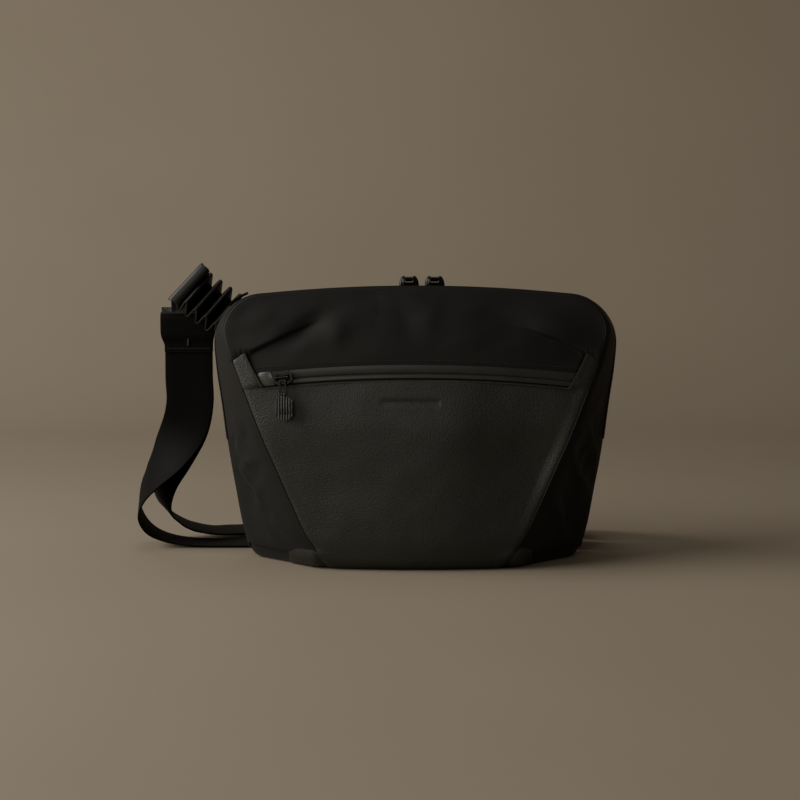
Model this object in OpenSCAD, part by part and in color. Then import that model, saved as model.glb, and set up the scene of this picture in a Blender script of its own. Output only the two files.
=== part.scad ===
// Sling bag with a leather and nylon front, a two-way main zip, a front pocket and a webbing strap.
// Frame: +Z up, the front faces -Y, origin on the floor under the middle of the bag. Millimetres.

/* [Bag] */
// Widest part of the bag, across the side ridges
bag_w = 316; // [296:2:328]
// Height at the middle of the top edge
bag_h = 217; // [207:1:227]
// Depth from the front's bulge to the back panel
bag_d = 91; // [86:1:98]
// Thickness of the nylon and leather walls
wall = 1.6; // [1.2:0.1:2]
// Height of the crease about which the front leans open
mouth_z = 112; // [108:1:116]

/* [Padding] */
// Foam behind the front panels
front_foam_t = 3; // [2:0.5:4]
// Foam pad of the back panel
back_foam_t = 7; // [5:0.5:9]
// Stiffening board in the base
board_t = 2; // [1.5:0.5:2.5]
// Room inside the front pocket, front to back
pocket_room = 10; // [8:1:11]

/* [Zips] */
// Width of the laminated band of the front zip
band_w = 12; // [10:0.5:13]
// Slider body length
slider_l = 15; // [12:0.5:16]
// Slider body width
slider_w = 10.5; // [8:0.5:11]
// Radius of the pins on which the pulls swing
pin_r = 1; // [0.8:0.1:1.1]
// Length of the moulded front pull
pull_l = 20; // [17:1:22]

/* [Strap] */
// Webbing width
web_w = 38; // [36:1:40]
// Webbing thickness
web_t = 2; // [1.6:0.2:2.4]
// Wire radius of the ring at the strap's far end
ring_r = 2; // [1.8:0.1:2.2]

/* [Hidden] */
$fn = 48;
nylon = "#15130f";
leather = "#1b1c18";
lining = "#3a3833";
foam = "#55524a";
metal = "#0b0b0c";
webbing = "#0a0a0a";
plastic = "#101010";

half_w = bag_w / 2;
half_d = bag_d / 2;
back_y = half_d - 3;         // inner face of the back panel
clear = 0.3;                 // gap between parts of different bodies
base_t = 2.5;                // thickness of the base panel
corner_z = bag_h - 37;       // height of the top corners' centres

// An outline is [corner centre x, corner centre z, corner radius, crown,
//                half widths by height, y by height].
// The front seam bounds the front face, the ridge carries the main zip, the back seam bounds the back.
seam = [half_w - 40, corner_z + 2, 31, 6,
    [[0, half_w - 90], [28, half_w - 70], [103, half_w - 37], [160, half_w - 15],
     [corner_z + 2, half_w - 9]],
    [[0, 7 - half_d], [40, 8 - half_d], [mouth_z, 9.5 - half_d], [bag_h, 21 - half_d]]];
ridge = [half_w - 40, corner_z - 8, 40, 5,
    [[0, half_w - 27], [10, half_w - 24], [28, half_w - 19.5], [74, half_w - 12], [96, half_w - 9],
     [126, half_w - 5.5], [150, half_w - 2], [corner_z - 8, half_w]],
    [[0, 22], [60, 14], [96, 7], [bag_h, 4]]];
back = [half_w - 45, corner_z - 6, 36, 4,
    [[0, half_w - 32], [40, half_w - 26], [mouth_z, half_w - 16], [corner_z - 6, half_w - 9]],
    [[0, back_y], [bag_h, back_y]]];
bulge_by_z = [[0, 6], [30, 8], [mouth_z, 9.5], [165, 9.5], [bag_h, 4]];

function mix(a, b, f) = a + (b - a) * f;
function unit(v) = v / norm(v);
function out_y(o, z) = lookup(z, o[5]);
// Half width of an outline at a height, with its round top corner
function out_x(o, z) = z <= o[1] ? lookup(z, o[4])
    : o[0] + sqrt(max(0, o[2] * o[2] - pow(min(z - o[1], o[2]), 2)));
function top_z(o, f) = o[1] + o[2] + o[3] * (1 - f * f);

// Stations along an outline from the left side over the top to the right side
side_zs = [mouth_z + 1, 128, 146, 164];
arc_steps = 5;
crown_steps = 4;
half_stations = [for (z = side_zs) [0, z], for (i = [0 : arc_steps]) [1, 90 * i / arc_steps],
    for (i = [1 : crown_steps]) [2, 1 - i / crown_steps]];
function half_point(o, s) = s[0] == 0 ? [out_x(o, s[1]), s[1]]
    : s[0] == 1 ? [o[0] + o[2] * cos(s[1]), o[1] + o[2] * sin(s[1])]
    : [o[0] * s[1], top_z(o, s[1])];
function half_outline(o) = [for (s = half_stations) let (p = half_point(o, s)) [p[0], out_y(o, p[1]), p[1]]];
function whole_outline(o) = let (h = half_outline(o), n = len(h))
    concat([for (i = [0 : n - 1]) [-h[i][0], h[i][1], h[i][2]]], [for (i = [n - 2 : -1 : 0]) h[i]]);

// The front face: u runs from -1 at the left seam to 1 at the right seam
function front_x(u, z) = u * out_x(seam, z);
function front_y(u, z) = out_y(seam, z) - lookup(z, bulge_by_z) * (1 - u * u);
function front_point(u, z, inward) = [front_x(u, z), front_y(u, z) + inward, z];

// Closed solid through a list of closed loops, capped at both ends
module skin(loops) {
    n = len(loops[0]);
    m = len(loops);
    pts = [for (loop = loops) each loop];
    sides = [for (i = [0 : m - 2], j = [0 : n - 1])
        let (a = i * n + j, b = i * n + (j + 1) % n, c = b + n, d = a + n) each [[a, b, c], [a, c, d]]];
    first = [for (j = [1 : n - 2]) [0, j + 1, j]];
    last = [for (j = [1 : n - 2]) [(m - 1) * n, (m - 1) * n + j, (m - 1) * n + j + 1]];
    polyhedron(points = pts, faces = concat(sides, first, last), convexity = 6);
}

// Plate that follows the front face between two curves of height, lows[i] to highs[i] at us[i]
module front_plate(us, lows, highs, rows, outer, inner) {
    skin([for (i = [0 : len(us) - 1]) let (
        zs = [for (k = [0 : rows]) mix(lows[i], highs[i], k / rows)])
        concat([for (z = zs) front_point(us[i], z, outer)],
            [for (k = [rows : -1 : 0]) front_point(us[i], zs[k], inner)])]);
}

// Strip of the top gusset between two outlines, from fraction f0 to f1 of the way across
module gusset_strip(o1, o2, f0, f1, above, below) {
    a = whole_outline(o1);
    b = whole_outline(o2);
    n = len(a);
    skin([for (i = [0 : n - 1]) let (
        run = b[min(i + 1, n - 1)] - b[max(i - 1, 0)],
        out = unit([-run[2], 0, run[0]]),
        p = mix(a[i], b[i], f0),
        q = mix(a[i], b[i], f1))
        [p + out * above, q + out * above, q - out * below, p - out * below]]);
}

// Wall of one side below the mouth: from front seam to ridge, and from ridge to back seam
fold = 0.05;                 // half the fold line between the two
module side_wall(side) {
    zs = [base_t, 20, 40, 60, 80, 96, mouth_z - 0.6];
    function corner(o, z, y) = [out_x(o, z), out_y(o, z) + y, z];
    module half_wall(o1, o2, y1, y2) skin([for (z = zs) let (
        p = corner(o1, z, y1), q = corner(o2, z, y2), n = unit([q[1] - p[1], p[0] - q[0], 0]))
        [p, [p[0] - n[0] * wall, p[1], z], [q[0] - n[0] * wall, q[1], z], q]]);
    mirror([side > 0 ? 0 : 1, 0, 0]) {
        half_wall(seam, ridge, 0, -fold);
        half_wall(ridge, back, fold, 0);
    }
}

// Extrudes a drawing in the XZ plane from y0 to y1
module in_xz(y0, y1) translate([0, y1, 0]) rotate([90, 0, 0]) linear_extrude(y1 - y0) children();

// Flat outline of the back panel, drawn in, from a height upwards
module back_shape(inset, z0) {
    h = [for (p = half_outline(back)) [p[0] - inset * (p[0] > back[0] ? 1 : 0),
        p[2] - inset * (p[2] > back[1] + 20 ? 1 : 0)]];
    low = [[out_x(back, z0) - inset, z0], [out_x(back, 40) - inset, 40]];
    right = concat(low, h);
    polygon(concat(right, [for (i = [len(right) - 1 : -1 : 0]) [-right[i][0], right[i][1]]]));
}

module back_panel() color(nylon) in_xz(back_y, half_d) back_shape(0, base_t);
module back_foam() color(foam) in_xz(back_y - back_foam_t, back_y) back_shape(7, base_t + board_t + 1);

slip_top = 125;
slip_w = 210;
module inner_slip_pocket() color(lining)
    in_xz(back_y - back_foam_t - 1, back_y - back_foam_t)
        translate([-slip_w / 2, 12]) square([slip_w, slip_top - 12]);

base_us = [-1, -0.7, -0.35, 0, 0.35, 0.7, 1];
module base_shape(inset) polygon(concat(
    [for (u = base_us) [front_x(u, 0) * (1 - inset / 80), front_y(u, 0) + inset]],
    [[out_x(ridge, 0) - inset, out_y(ridge, 0)], [out_x(back, 0) - inset, half_d - inset],
    [inset - out_x(back, 0), half_d - inset], [inset - out_x(ridge, 0), out_y(ridge, 0)]]));
module base_panel() color(nylon) linear_extrude(base_t) base_shape(0);
module base_board() color(plastic) translate([0, 0, base_t]) linear_extrude(board_t) base_shape(7);

// Columns of the front plates: the leather's ears stand outside ear_u, the zip window inside it
edge_u = 0.985;
ear_u = 0.89;
window_u = 0.88;
wide_us = [-edge_u, -0.94, -ear_u, -window_u, -0.7, -0.45, -0.2,
           0, 0.2, 0.45, 0.7, window_u, ear_u, 0.94, edge_u];
bond = 0.6;                  // glue line between a panel and its foam
foam_u = 0.94;
foam_us = [-foam_u, -0.7, -0.45, -0.2, 0, 0.2, 0.45, 0.7, foam_u];
pocket_u = 0.86;
pocket_us = [-pocket_u, -0.6, -0.3, 0, 0.3, 0.6, pocket_u];
band_mid_z = 148;            // lower edge of the zip band at the middle
band_drop = 7;               // how far the band's ends drop below its middle
ear_top_z = 167;
ear_drop = 7;
function band_low(u) = band_mid_z - band_drop * u * u / (window_u * window_u);
function band_high(u) = band_low(u) + band_w;
function ear_top(u) = ear_top_z - ear_drop * (abs(u) - ear_u) / (1 - ear_u);
function leather_top(u) = abs(u) > window_u ? ear_top(u) : band_low(u) - 0.1;
function fabric_bottom(u) = abs(u) > window_u ? ear_top(u) + 0.1 : band_high(u) + 0.1;
function fabric_top(u) = top_z(seam, u);
function const_list(us, v) = [for (u = us) v];

module leather_lower() color(leather)
    front_plate(wide_us, const_list(wide_us, base_t), const_list(wide_us, mouth_z - 0.6), 6, 0, wall);
module front_foam_lower() color(foam) front_plate(foam_us, const_list(foam_us, base_t + board_t + 1),
    const_list(foam_us, mouth_z - 1), 6, wall + bond, wall + front_foam_t);
pocket_in = wall + front_foam_t + pocket_room;
module pocket_sheet(z0, z1) front_plate(pocket_us, const_list(pocket_us, z0), const_list(pocket_us, z1),
    3, pocket_in, pocket_in + 1);
module pocket_lower() color(lining) pocket_sheet(14, mouth_z - 1);
module side_gusset_left() color(nylon) side_wall(-1);
module side_gusset_right() color(nylon) side_wall(1);

// The main zip runs along the ridge: fabric strip, tape and coil on each side of it
tape_f = 0.7;                // where the front fabric strip ends, from seam to ridge
coil_f = 0.95;
back_coil_f = 0.03;          // where the coil ends, from ridge to back seam
back_tape_f = 0.2;
module front_gusset() color(nylon) gusset_strip(seam, ridge, 0, tape_f, 0, wall);
module main_zip_tape_front() color(webbing) gusset_strip(seam, ridge, tape_f, coil_f, 0, 1);
module main_zip_coil_front() color(plastic) gusset_strip(seam, ridge, coil_f, 0.995, 0, 1.6);
module main_zip_coil_back() color(plastic) gusset_strip(ridge, back, 0.005, back_coil_f, 0, 1.6);
module main_zip_tape_back() color(webbing) gusset_strip(ridge, back, back_coil_f, back_tape_f, 0, 1);
module back_gusset() color(nylon) gusset_strip(ridge, back, back_tape_f, 1, 0, wall);
stop_size = [3, 6, 2];
module main_zip_stops() color(metal) for (side = [-1, 1])
    translate([side * (out_x(ridge, mouth_z) - 8), out_y(ridge, mouth_z), mouth_z - 3])
        cube(stop_size, center = true);

module leather_upper() color(leather) front_plate(wide_us, const_list(wide_us, mouth_z),
    [for (u = wide_us) leather_top(u)], 4, 0, wall);
module front_fabric_panel() color(nylon) front_plate(wide_us, [for (u = wide_us) fabric_bottom(u)],
    [for (u = wide_us) fabric_top(u) - 0.2], 4, 0, wall);
window_us = [-window_u + 0.005, -0.7, -0.45, -0.2, 0, 0.2, 0.45, 0.7, window_u - 0.005];
coil_w = 5;
module band_plate(z0, z1, y0, y1) front_plate(window_us, [for (u = window_us) band_low(u) + z0],
    [for (u = window_us) band_low(u) + z1], 2, y0, y1);
module front_zip_band() color("#202020") band_plate(0, band_w, 0.2, wall);
module front_zip_coil() color(plastic)
    band_plate(band_w / 2 - coil_w / 2, band_w / 2 + coil_w / 2, wall + 0.3, wall + 1.8);
module front_foam_upper() color(foam) front_plate(foam_us, const_list(foam_us, band_mid_z + band_w + 10),
    const_list(foam_us, bag_h - 14), 4, wall + bond, wall + front_foam_t);
module pocket_upper() color(lining) pocket_sheet(mouth_z, band_mid_z + band_w + 6);
module front_zip_stops() color(metal) for (side = [-1, 1]) let (u = side * (window_u - 0.03))
    translate(front_point(u, band_low(u) + band_w / 2, wall + 3.2))
        cube([3, 1.4, coil_w + 1], center = true);
garage_u = -0.84;
module front_zip_garage() color("#262623")
    translate(front_point(garage_u, band_low(garage_u) + band_w / 2, -0.8)) rotate([-front_lean, 0, -7])
        cube([7, 0.8, band_w - 2], center = true);

// A slider's own axes: X along the zip, Y towards the hanging pull, Z out of the bag.
// Its underside is stepped, so the zip's moving half can lift away under the raised wing.
lug_x = 3.1;                 // inner face of each lug
lug_r = 2.6;                 // rounded top of each lug
pin_h = 6;                   // height of the pin above the zip
step_h = 2.7;                // clearance under the raised wing
eye_r = pin_r + 0.05;
module slider(step) {
    difference() {
        translate([0, 0, clear]) linear_extrude(3.4) polygon([
            [-slider_l / 2, -2.6], [-slider_l / 2 + 3, -slider_w / 2], [slider_l / 2 - 3, -slider_w / 2],
            [slider_l / 2, -2.6], [slider_l / 2, 2.6], [slider_l / 2 - 3, slider_w / 2],
            [-slider_l / 2 + 3, slider_w / 2], [-slider_l / 2, 2.6]]);
        translate([-slider_l, -slider_w, -step]) cube([2 * slider_l, slider_w, 2 * step]);
    }
    for (side = [-1, 1]) translate([side * (lug_x + 1), 0, 0]) rotate([0, 90, 0])
        linear_extrude(2, center = true) difference() {
            union() {
                translate([-pin_h, 0]) circle(lug_r);
                translate([-pin_h, -lug_r]) square([pin_h - 3, 2 * lug_r]);
            }
        }
    translate([0, 0, pin_h]) rotate([0, 90, 0]) cylinder(r = pin_r, h = 2 * lug_x + 1, center = true);
}
// Flat pull with an eye on the slider's pin, hanging along +Y
module eye(w, r_out) translate([0, 0, pin_h]) rotate([0, 90, 0]) difference() {
    cylinder(r = r_out, h = w, center = true);
    cylinder(r = eye_r, h = w + 1, center = true);
}
link_l = 13;                 // pin to pin
link_w = 5.6;
bar_r = 0.8;                 // lower bar of the link
module pull_link() {
    eye(link_w, 1.9);
    difference() {
        translate([-link_w / 2, 1.5, pin_h - 0.8]) cube([link_w, link_l - 1.5 - 0.5, 1.6]);
        translate([-link_w / 2 + 1.3, 3, 0]) cube([link_w - 2.6, link_l - 1.5, 2 * pin_h]);
    }
    translate([0, link_l, pin_h]) rotate([0, 90, 0]) cylinder(r = bar_r, h = link_w, center = true);
}
grip_w = 13;
module front_grip() translate([0, link_l, pin_h]) difference() {
    union() {
        rotate([0, 90, 0]) cylinder(r = 1.7, h = link_w - 2.8, center = true);
        translate([0, 0, -1.6]) linear_extrude(3.2) polygon([[-1.2, 0.8], [-grip_w / 2, 4.5],
            [-grip_w / 2, pull_l - 4], [-grip_w / 2 + 3, pull_l - 1], [0, pull_l],
            [grip_w / 2 - 3, pull_l - 1], [grip_w / 2, pull_l - 4], [grip_w / 2, 4.5], [1.2, 0.8]]);
        for (x = [-4 : 2 : 4]) translate([x - 0.5, 6, -2]) cube([1, pull_l - 11, 4]);
    }
    rotate([0, 90, 0]) cylinder(r = bar_r + 0.05, h = grip_w, center = true);
    translate([-grip_w, -2, -3]) cube([grip_w - link_w / 2 + 1.1, 4.2, 6]);
    translate([link_w / 2 - 1.1, -2, -3]) cube([grip_w, 4.2, 6]);
}
top_pull_l = 22;
module top_grip() difference() {
    union() {
        eye(link_w, 1.9);
        translate([0, 0, pin_h - 1]) linear_extrude(2) polygon([[-2.6, 1.2], [-4.5, 9],
            [-4.5, top_pull_l - 3], [-2.5, top_pull_l], [2.5, top_pull_l], [4.5, top_pull_l - 3],
            [4.5, 9], [2.6, 1.2]]);
    }
    translate([0, 0, pin_h]) rotate([0, 90, 0]) cylinder(r = eye_r, h = 2 * link_w, center = true);
}

// The front slider runs on a circle through the band's middle and two points near its ends
track_u = 0.73;
track_side = front_point(-track_u, band_low(track_u) + band_w / 2, 0.2);
track_mid = front_point(0, band_low(0) + band_w / 2, 0.2);
track_sag = [0, track_mid[1] - track_side[1], track_mid[2] - track_side[2]];
track_r = (track_side[0] * track_side[0] + track_sag * track_sag) / (2 * norm(track_sag));
track_centre = track_mid - unit(track_sag) * track_r;
track_axis = [0, track_sag[2], -track_sag[1]] / norm(track_sag);
track_angle = asin(-track_side[0] / track_r);
front_lean = atan2(out_y(seam, 160) - out_y(seam, 140), 20);
module on_front_track() translate(track_centre) rotate(a = -track_angle, v = track_axis)
    translate(track_mid - track_centre) rotate([-front_lean, 0, 0]) rotate([-90, 0, 180]) children();
module front_slider() color(metal) on_front_track() slider(clear);
module front_pull_link() color(metal) on_front_track() pull_link();
module front_pull() color(plastic) on_front_track() front_grip();

// The main zip's sliders run on the circle of the ridge's crown
crown_r = (ridge[0] * ridge[0] + ridge[3] * ridge[3]) / (2 * ridge[3]);
left_slider_x = -5;
right_slider_x = 15;
module on_crown(x) translate([0, out_y(ridge, bag_h), bag_h - crown_r]) rotate([0, asin(x / crown_r), 0])
    translate([0, 0, crown_r]) children();
module top_slider_left() color(metal) on_crown(left_slider_x) slider(step_h);
module top_slider_right() color(metal) on_crown(right_slider_x) slider(step_h);
module top_pull_left() color(metal) on_crown(left_slider_x) top_grip();
module top_pull_right() color(metal) on_crown(right_slider_x) top_grip();

// Strap anchors
tab_in = ridge[2] + 0.6;     // a tab starts just outside the top corner's arc
module corner_arc(r0, r1, a0, a1) translate([-ridge[0], ridge[1]]) polygon(concat(
    [for (i = [0 : 4]) let (a = mix(a0, a1, i / 4)) r0 * [cos(a), sin(a)]],
    [for (i = [4 : -1 : 0]) let (a = mix(a0, a1, i / 4)) r1 * [cos(a), sin(a)]]));
module left_anchor_tab() color(webbing) in_xz(22, 40) corner_arc(tab_in, tab_in + 3, 112, 165);
ring_x = 126;
ring_z = 172;
ring_y = half_d + ring_r + web_t + 0.8;
ring_drop = 22;
ring_inner = web_w + 2;
module right_anchor_tab() color(webbing) {
    translate([ring_x, ring_y, ring_z]) rotate([0, 90, 0]) difference() {
        cylinder(r = ring_r + 1.6, h = web_w, center = true);
        cylinder(r = ring_r + 0.06, h = web_w + 1, center = true);
    }
    translate([ring_x - web_w / 2, half_d, ring_z]) cube([web_w, 2, 20]);
}
module ring_bar(p, q) translate(p) rotate([0, atan2(q[0] - p[0], q[2] - p[2]), 0])
    cylinder(r = ring_r, h = norm(q - p));
module strap_ring() color(metal) {
    hx = ring_inner / 2 + ring_r;
    corners = [[ring_x - hx, ring_y, ring_z], [ring_x + hx, ring_y, ring_z],
        [ring_x + hx, ring_y, ring_z - ring_drop], [ring_x - hx, ring_y, ring_z - ring_drop]];
    for (i = [0 : 3]) {
        ring_bar(corners[i], corners[(i + 1) % 4]);
        translate(corners[i]) sphere(r = ring_r);
    }
}
module strap_ring_turn() color(webbing)
    translate([ring_x, ring_y, ring_z - ring_drop]) rotate([0, 90, 0]) difference() {
        cylinder(r = ring_r + 0.3 + web_t, h = web_w, center = true);
        cylinder(r = ring_r + 0.3, h = web_w + 1, center = true);
    }

// Left end of the strap: pleated webbing, adjuster and the sewn loop that hangs from it
loop_x = -182.5;
loop_y = 48.5;
module strap_concertina() color(webbing) difference() {
    in_xz(16, 42) polygon([[-195, 205], [-169, 234], [-128, 216], [-128, 180], [-160, 177]]);
    in_xz(15, 43) translate([-ridge[0], ridge[1]]) circle(tab_in + 3.2);
}
glide_w = 43;
glide_z = 188;
module strap_tri_glide() color(metal) difference() {
    in_xz(loop_y - 1.5, loop_y + 1.5) translate([loop_x - glide_w / 2, glide_z - 9]) square([glide_w, 20]);
    for (slot = [[-6.8, 5], [1.8, 6.6]])
        translate([loop_x - ring_inner / 2, loop_y - 3, glide_z + slot[0]])
            cube([ring_inner, 6, slot[1]]);
}
loop_r = 5.5;
stitch_z = 165;
module strap_end_loop() color(webbing) translate([loop_x - web_w / 2, 0, 0]) rotate([90, 0, 90])
    linear_extrude(web_w) difference() {
        union() {
            translate([loop_y, glide_z + 2]) circle(loop_r);
            polygon([[loop_y - 2.2, stitch_z], [loop_y + 2.2, stitch_z], [loop_y + loop_r, stitch_z + 12],
                [loop_y + loop_r, glide_z + 2], [loop_y - loop_r, glide_z + 2],
                [loop_y - loop_r, stitch_z + 12]]);
        }
        translate([loop_y, glide_z + 2]) circle(loop_r - web_t);
        translate([loop_y - loop_r + web_t, stitch_z + 13])
            square([2 * (loop_r - web_t), glide_z - stitch_z - 11]);
    }

// Routes of the two webbing runs: [x, y, z, roll]; roll 0 lays the width along X, 90 along Y
near_route = [
    [-182.5, 47, 164, 0], [-182.5, 46.5, 142, 0], [-182, 46, 122, -3], [-187, 48, 102, -12],
    [-200, 52, 80, -35], [-215, 58, 60, -60], [-224, 64, 45, -76], [-227, 70, 30, -86], [-222, 76, 17, -90],
    [-211, 80, 8, -90], [-194, 82, 3, -90], [-170, 82, 1.5, -90], [-130, 82, 1.5, -90],
    [-80, 83, 1.5, -90], [-20, 84, 1.5, -90], [40, 83, 1.5, -90], [85, 81, 1.5, -90], [108, 79, 3, -90],
    [120, 76, 8, -90], [128, 72, 17, -92], [131, 67, 31, -100], [131, 63.5, 48, -118],
    [129, 58.5, 68, -142], [127, 52, 90, -165], [126, 48.8, 112, -176], [126, 47.2, 130, -180],
    [126, 47, 145, -180]];
far_route = [
    [-182.5, 50, 164, 0], [-182.5, 50, 142, 0], [-182, 50, 122, -3], [-186, 52.5, 102, -10],
    [-196, 57.5, 80, -30], [-206, 66, 60, -48], [-210, 76, 45, -62], [-208, 86, 31, -73], [-200, 95, 20.5, -80],
    [-190, 101, 13.5, -85], [-179, 106, 9.5, -88], [-167, 112, 7, -90], [-153, 122, 5.5, -90],
    [-140, 135, 4, -90], [-124, 150, 2.6, -90], [-102, 161, 1.8, -90], [-74, 165, 1.5, -90],
    [-40, 162, 1.5, -90], [-5, 155, 1.5, -90], [35, 147, 1.5, -90], [80, 143, 1.5, -90],
    [112, 139, 3.5, -90], [129, 131, 10, -92], [138, 120, 21, -97], [141, 107, 36, -108],
    [139, 93, 54, -126], [134, 79, 73, -147], [129, 66, 92, -165], [126.5, 56.5, 112, -176],
    [126, 53.8, 130, -180], [126, 53.6, 145, -180]];
module webbing_run(route) {
    n = len(route);
    pts = [for (r = route) [r[0], r[1], r[2]]];
    skin([for (i = [0 : n - 1]) let (
        t = unit(pts[min(i + 1, n - 1)] - pts[max(i - 1, 0)]),
        lay = [cos(route[i][3]), sin(route[i][3]), 0],
        w = unit(lay - t * (lay * t)) * web_w / 2,
        h = unit(cross(t, w)) * web_t / 2)
        [for (c = [[1, 0.4], [0.9, 1], [-0.9, 1], [-1, 0.4], [-1, -0.4], [-0.9, -1], [0.9, -1], [1, -0.4]])
            pts[i] + w * c[0] + h * c[1]]]);
}
module strap_run_near() color(webbing) webbing_run(near_route);
module strap_run_far() color(webbing) webbing_run(far_route);

back_panel();
back_foam();
inner_slip_pocket();
base_panel();
base_board();
leather_lower();
front_foam_lower();
pocket_lower();
side_gusset_left();
side_gusset_right();
back_gusset();
main_zip_tape_back();
main_zip_coil_back();
main_zip_stops();
leather_upper();
front_fabric_panel();
front_foam_upper();
pocket_upper();
front_zip_band();
front_zip_coil();
front_zip_stops();
front_zip_garage();
front_gusset();
main_zip_tape_front();
main_zip_coil_front();
front_slider();
front_pull_link();
front_pull();
top_slider_left();
top_slider_right();
top_pull_left();
top_pull_right();
left_anchor_tab();
right_anchor_tab();
strap_ring();
strap_ring_turn();
strap_concertina();
strap_tri_glide();
strap_end_loop();
strap_run_near();
strap_run_far();
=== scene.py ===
import math

import bpy
import numpy as np
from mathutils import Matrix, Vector, noise


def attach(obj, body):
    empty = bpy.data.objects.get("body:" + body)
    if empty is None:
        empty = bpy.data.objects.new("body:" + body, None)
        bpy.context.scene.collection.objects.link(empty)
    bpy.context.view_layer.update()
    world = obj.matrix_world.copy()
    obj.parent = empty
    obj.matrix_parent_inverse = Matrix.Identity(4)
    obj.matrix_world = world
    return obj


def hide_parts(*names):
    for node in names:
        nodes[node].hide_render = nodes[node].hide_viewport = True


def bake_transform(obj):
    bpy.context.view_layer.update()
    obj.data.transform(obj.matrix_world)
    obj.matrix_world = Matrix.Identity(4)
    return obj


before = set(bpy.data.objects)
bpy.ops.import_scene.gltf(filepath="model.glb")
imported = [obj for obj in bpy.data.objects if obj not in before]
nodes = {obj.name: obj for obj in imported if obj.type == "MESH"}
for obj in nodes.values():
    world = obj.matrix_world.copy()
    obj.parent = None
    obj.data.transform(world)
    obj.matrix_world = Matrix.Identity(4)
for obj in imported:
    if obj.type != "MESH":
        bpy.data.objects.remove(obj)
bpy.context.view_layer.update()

MM = 0.001

# ---- sizes, in millimetres
HALF_D = 45.5
WALL = 1.6                   # the fabric of the body
WEB_W = 38                   # shoulder strap webbing
WEB_T = 1.5
WINDOW_U = 0.88              # the front zip's window, as a share of the half width
BAND_W = 12                  # width of the zip's band
BAND_MID_Z = 148             # lower edge of the zip's band, in the middle
BAND_DROP = 7                # how far it falls towards the ends
EAR_TOP_Z = 167              # top of the leather's ears, at their inner corners
EAR_DROP = 7                 # how far that top edge falls towards the seam
EAR_FOOT_Z = 141
FOAM_T = 4.6                 # behind the front
BACK_T = 3
BACK_FOAM_T = 7
POCKET_IN = 14.6             # how far the front pocket lies behind the front face
TAPE_F = 0.7                 # the main zip, as shares of the way from front seam to ridge
COIL_F = 0.95
BACK_COIL_F = 0.03           # and from ridge to back seam
BACK_TAPE_F = 0.2
ZIP_END_Z = 100
ROLL = 9                     # radius of the rolled edge round the base
BASE_Z = 14.5                # upper edge of the base's skin
BASE_BEND = 14.2             # how far it runs down to the floor
BAR = (-27, 19, 129, 132)    # plain pressed bar: x from, x to, z from, z to
BAR_DEPTH = 0.42
TOP_PIN_LEFT = (-5.0, 4.0, 223.0)       # where the top pulls hang
TOP_PIN_RIGHT = (15.1, 4.0, 222.9)
BULGE = [[0, 6], [30, 8], [112, 9.5], [165, 9.5], [217, 4]]      # of the front, by height


def mix(a, b, f):
    return a + (b - a) * f


def unit(v):
    v = np.asarray(v, float)
    return v / np.maximum(np.linalg.norm(v, axis=-1, keepdims=True), 1e-9)


def step(a, b, v):
    """Smooth step of v from a to b."""
    t = np.clip((np.asarray(v, float) - a) / (b - a), 0, 1)
    return t * t * (3 - 2 * t)


def lookup(table, v):
    """A table of [height, value] read with its corners rounded over 6 mm."""
    at, value = np.array(table, float).T
    v = np.asarray(v, float)
    return np.mean([np.interp(v + d, at, value) for d in np.linspace(-6, 6, 7)], axis=0)


def smooth(line, times):
    """Rounds a line of points, its two ends kept."""
    for _ in range(times):
        line[1:-1] = (line[:-2] + 2 * line[1:-1] + line[2:]) / 4
    return line


class Outline:
    """A line round the bag seen from the front: sides, round top corners and a crown."""

    def __init__(self, corner_x, corner_z, radius, crown, widths, depths):
        self.cx, self.cz, self.r, self.crown = corner_x, corner_z, radius, crown
        self.widths, self.depths = widths, depths

    def x(self, z):
        z = np.asarray(z, float)
        rise = np.clip(z - self.cz, 0, self.r)
        corner = self.cx + np.sqrt(self.r**2 - rise**2)
        return np.where(z <= self.cz, lookup(self.widths, z), corner)

    def y(self, z):
        return lookup(self.depths, z)

    def top(self, f):
        return self.cz + self.r + self.crown * (1 - f * f)

    def path(self, z0, gap=3.0):
        """Points from height z0 on the left, over the top, to z0 on the right."""
        zs = np.linspace(z0, 164, int((164 - z0) / gap) + 1)
        side = np.stack([self.x(zs), zs], 1)
        turn = np.radians(np.linspace(0, 90, 22))
        corner = np.stack([self.cx + self.r * np.cos(turn), self.cz + self.r * np.sin(turn)], 1)
        f = np.linspace(1, 0, int(92 / gap))[1:]
        crown = np.stack([self.cx * f, self.top(f)], 1)
        half = np.concatenate([side, corner, crown])
        line = smooth(np.concatenate([half * [-1, 1], half[-2::-1]]), 3)
        return np.stack([line[:, 0], self.y(line[:, 1]), line[:, 1]], 1)


SEAM = Outline(118, 182, 31, 6,
               [[0, 68], [28, 88], [103, 121], [160, 143], [182, 149]],
               [[0, -38.5], [40, -37.5], [112, -36], [217, -24.5]])
RIDGE = Outline(118, 172, 40, 5,
                [[0, 131], [10, 134], [28, 138.5], [74, 146], [96, 149], [126, 152.5], [150, 156],
                 [172, 158]],
                [[0, 22], [60, 14], [96, 7], [217, 4]])
BACK = Outline(113, 174, 36, 4,
               [[0, 126], [40, 132], [112, 142], [174, 149]], [[0, 42.5], [217, 42.5]])


def front_xyz(x, z, inward=0.0, fade=1.0):
    """A point of the front face. fade takes the bulge out towards the top seam."""
    u = x / SEAM.x(z)
    y = SEAM.y(z) - lookup(BULGE, z) * (1 - u * u) * fade + inward
    return np.stack(np.broadcast_arrays(x, y, z), -1).astype(float)


def band_low(u):
    return BAND_MID_Z - BAND_DROP * u * u / WINDOW_U**2


def ear_top(u):
    return EAR_TOP_Z - EAR_DROP * (np.abs(u) - 0.89) / 0.11


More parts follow.
